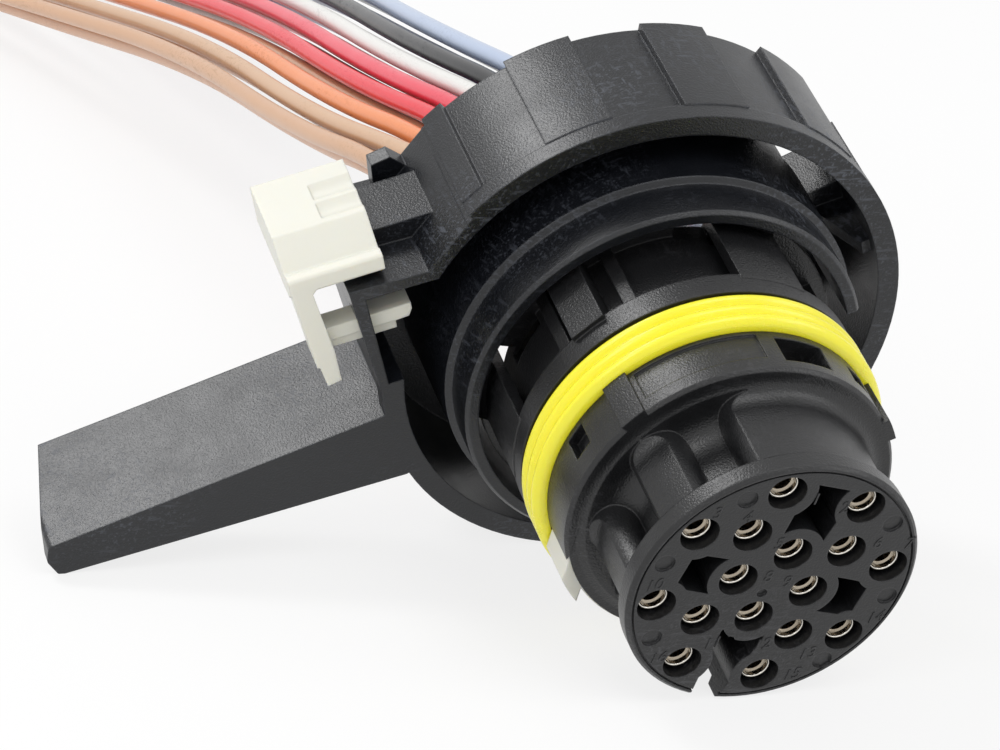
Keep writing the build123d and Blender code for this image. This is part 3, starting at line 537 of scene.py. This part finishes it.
def strand_bundle_tree():
    """A bundle of round strands at each point of the mesh, along the point's own heading."""
    tree = bpy.data.node_groups.new("strand_bundle", "GeometryNodeTree")
    sockets = tree.interface
    sockets.new_socket("Geometry", in_out="INPUT", socket_type="NodeSocketGeometry")
    for name in ("Strand Radius", "Pitch", "Length"):
        sockets.new_socket(name, in_out="INPUT", socket_type="NodeSocketFloat")
    sockets.new_socket("Material", in_out="INPUT", socket_type="NodeSocketMaterial")
    sockets.new_socket("Geometry", in_out="OUTPUT", socket_type="NodeSocketGeometry")
    add = tree.nodes.new
    link = tree.links.new
    given = add("NodeGroupInput")
    result = add("NodeGroupOutput")
    strand = add("GeometryNodeMeshCylinder")
    strand.inputs["Vertices"].default_value = 8
    link(given.outputs["Strand Radius"], strand.inputs["Radius"])
    link(given.outputs["Length"], strand.inputs["Depth"])
    weld_distance = 0.000001
    places = add("GeometryNodeJoinGeometry")
    for ring in (0, 1, 2):
        circle = add("GeometryNodeMeshCircle")
        circle.inputs["Vertices"].default_value = max(3, 6 * ring)
        spread = add("ShaderNodeMath")
        spread.operation = "MULTIPLY"
        spread.inputs[1].default_value = float(ring)
        link(given.outputs["Pitch"], spread.inputs[0])
        link(spread.outputs["Value"], circle.inputs["Radius"])
        merged = add("GeometryNodeMergeByDistance")
        merged.inputs["Distance"].default_value = weld_distance
        link(circle.outputs["Mesh"], merged.inputs["Geometry"])
        link(merged.outputs["Geometry"], places.inputs["Geometry"])
    bundle = add("GeometryNodeInstanceOnPoints")
    link(places.outputs["Geometry"], bundle.inputs["Points"])
    link(strand.outputs["Mesh"], bundle.inputs["Instance"])
    heading = add("GeometryNodeInputNamedAttribute")
    heading.data_type = "FLOAT_VECTOR"
    heading.inputs["Name"].default_value = "heading"
    aligned = add("FunctionNodeAlignRotationToVector")
    aligned.axis = "Z"
    link(heading.outputs["Attribute"], aligned.inputs["Vector"])
    ends = add("GeometryNodeInstanceOnPoints")
    link(given.outputs["Geometry"], ends.inputs["Points"])
    link(bundle.outputs["Instances"], ends.inputs["Instance"])
    link(aligned.outputs["Rotation"], ends.inputs["Rotation"])
    real = add("GeometryNodeRealizeInstances")
    link(ends.outputs["Instances"], real.inputs["Geometry"])
    painted = add("GeometryNodeSetMaterial")
    link(real.outputs["Geometry"], painted.inputs["Geometry"])
    link(given.outputs["Material"], painted.inputs["Material"])
    link(painted.outputs["Geometry"], result.inputs["Geometry"])
    return tree


ends_mesh = bpy.data.meshes.new("wire_ends")
ends_mesh.from_pydata([point for point, heading in wire_ends], [], [])
headings = ends_mesh.attributes.new("heading", "FLOAT_VECTOR", "POINT")
for entry, (point, heading) in zip(headings.data, wire_ends):
    entry.vector = heading
strand_values = {"Strand Radius": 0.000115, "Pitch": 0.000235, "Length": 0.0005, "Material": copper}
strands_mesh = built_mesh("cut_strands", strand_bundle_tree(), strand_values, ends_mesh)
cut_strands = bpy.data.objects.new("cut_strands", strands_mesh)
bpy.context.scene.collection.objects.link(cut_strands)
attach(cut_strands, "connector")

# Table: a plain white sheet that runs out of sight and keeps the object's soft shadow.
# Most of what is seen of it is a glow of its own, so that it comes out evenly white.
floor_reach = 6.0
floor_glow = 0.80
floor_mesh = bpy.data.meshes.new("floor")
floor_mesh.from_pydata(
    [(x * floor_reach, y * floor_reach, table_height) for x, y in ((-1, -1), (1, -1), (1, 1), (-1, 1))],
    [],
    [(0, 1, 2, 3)],
)
floor = bpy.data.objects.new("floor", floor_mesh)
bpy.context.scene.collection.objects.link(floor)


def looked_at(tree):
    """Value that is 1 where the camera sees a thing straight or in a gloss, and else 0."""
    path = tree.nodes.new("ShaderNodeLightPath")
    seen = tree.nodes.new("ShaderNodeMath")
    seen.operation = "MAXIMUM"
    tree.links.new(path.outputs["Is Camera Ray"], seen.inputs[0])
    tree.links.new(path.outputs["Is Glossy Ray"], seen.inputs[1])
    return seen.outputs["Value"]


floor_white = bpy.data.materials.new("floor_white")
floor_white.use_nodes = True
floor_tree = floor_white.node_tree
floor_shader = floor_tree.nodes["Principled BSDF"]
floor_shader.inputs["Base Color"].default_value = (0.90, 0.90, 0.90, 1.0)
floor_shader.inputs["Roughness"].default_value = 0.7
glow = floor_tree.nodes.new("ShaderNodeEmission")
glow_share = floor_tree.nodes.new("ShaderNodeMath")
glow_share.operation = "MULTIPLY"
glow_share.inputs[1].default_value = floor_glow
floor_tree.links.new(looked_at(floor_tree), glow_share.inputs[0])
floor_mix = floor_tree.nodes.new("ShaderNodeMixShader")
floor_tree.links.new(glow_share.outputs["Value"], floor_mix.inputs["Fac"])
floor_tree.links.new(floor_shader.outputs["BSDF"], floor_mix.inputs[1])
floor_tree.links.new(glow.outputs["Emission"], floor_mix.inputs[2])
floor_tree.links.new(floor_mix.outputs["Shader"], floor_tree.nodes["Material Output"].inputs["Surface"])
floor_mesh.materials.append(floor_white)

# Studio: a white room with a key softbox above and behind, and three weaker ones in front.
# The room is dimmer as a lamp than it looks, which keeps the shadows of the black pieces deep.
room_light = 0.50
room_looks = 1.0
world = bpy.data.worlds.new("studio")
bpy.context.scene.world = world
world.use_nodes = True
world_tree = world.node_tree
background = world_tree.nodes["Background"]
background.inputs["Color"].default_value = (1.0, 1.0, 1.0, 1.0)
strength = world_tree.nodes.new("ShaderNodeMapRange")
strength.inputs["To Min"].default_value = room_light
strength.inputs["To Max"].default_value = room_looks
world_tree.links.new(looked_at(world_tree), strength.inputs["Value"])
world_tree.links.new(strength.outputs["Result"], background.inputs["Strength"])


def softbox(name, place, target, size, watts):
    """Square area lamp that looks at a target."""
    lamp_data = bpy.data.lights.new(name, "AREA")
    lamp_data.size = size
    lamp_data.energy = watts
    lamp = bpy.data.objects.new(name, lamp_data)
    lamp.location = place
    lamp.rotation_euler = (Vector(target) - Vector(place)).to_track_quat("-Z", "Y").to_euler()
    bpy.context.scene.collection.objects.link(lamp)


object_middle = (0.0, 0.02, 0.0)
softbox("key_softbox", place=(-0.34, 0.42, 0.68), target=(-0.03, 0.01, 0.0), size=0.28, watts=2.5)
softbox("front_softbox", place=(0.15, -0.50, 0.75), target=object_middle, size=0.45, watts=1.9)
softbox("left_softbox", place=(-0.60, -0.40, 0.45), target=object_middle, size=0.40, watts=1.8)
softbox("right_softbox", place=(0.70, -0.50, 0.40), target=object_middle, size=0.40, watts=1.2)

# Camera: a long lens from the left of the nose and a little above it.
# It looks down on the contact face, along the wires to the back.
camera_place = (-0.13328, -0.26462, 0.12184)
camera_right = Vector((0.9346, -0.3454, 0.0851)).normalized()
camera_back = Vector((-0.3533, -0.8730, 0.3363)).normalized()
camera_data = bpy.data.cameras.new("camera")
camera_data.lens = 137.77
camera_data.sensor_width = 36.0
camera_data.clip_start = 0.01
camera_data.clip_end = 20.0
camera = bpy.data.objects.new("camera", camera_data)
bpy.context.scene.collection.objects.link(camera)
camera_axes = Matrix((camera_right, camera_back.cross(camera_right), camera_back)).transposed().to_4x4()
camera.matrix_world = Matrix.Translation(camera_place) @ camera_axes
bpy.context.scene.camera = camera
bpy.context.scene.view_settings.view_transform = "Standard"
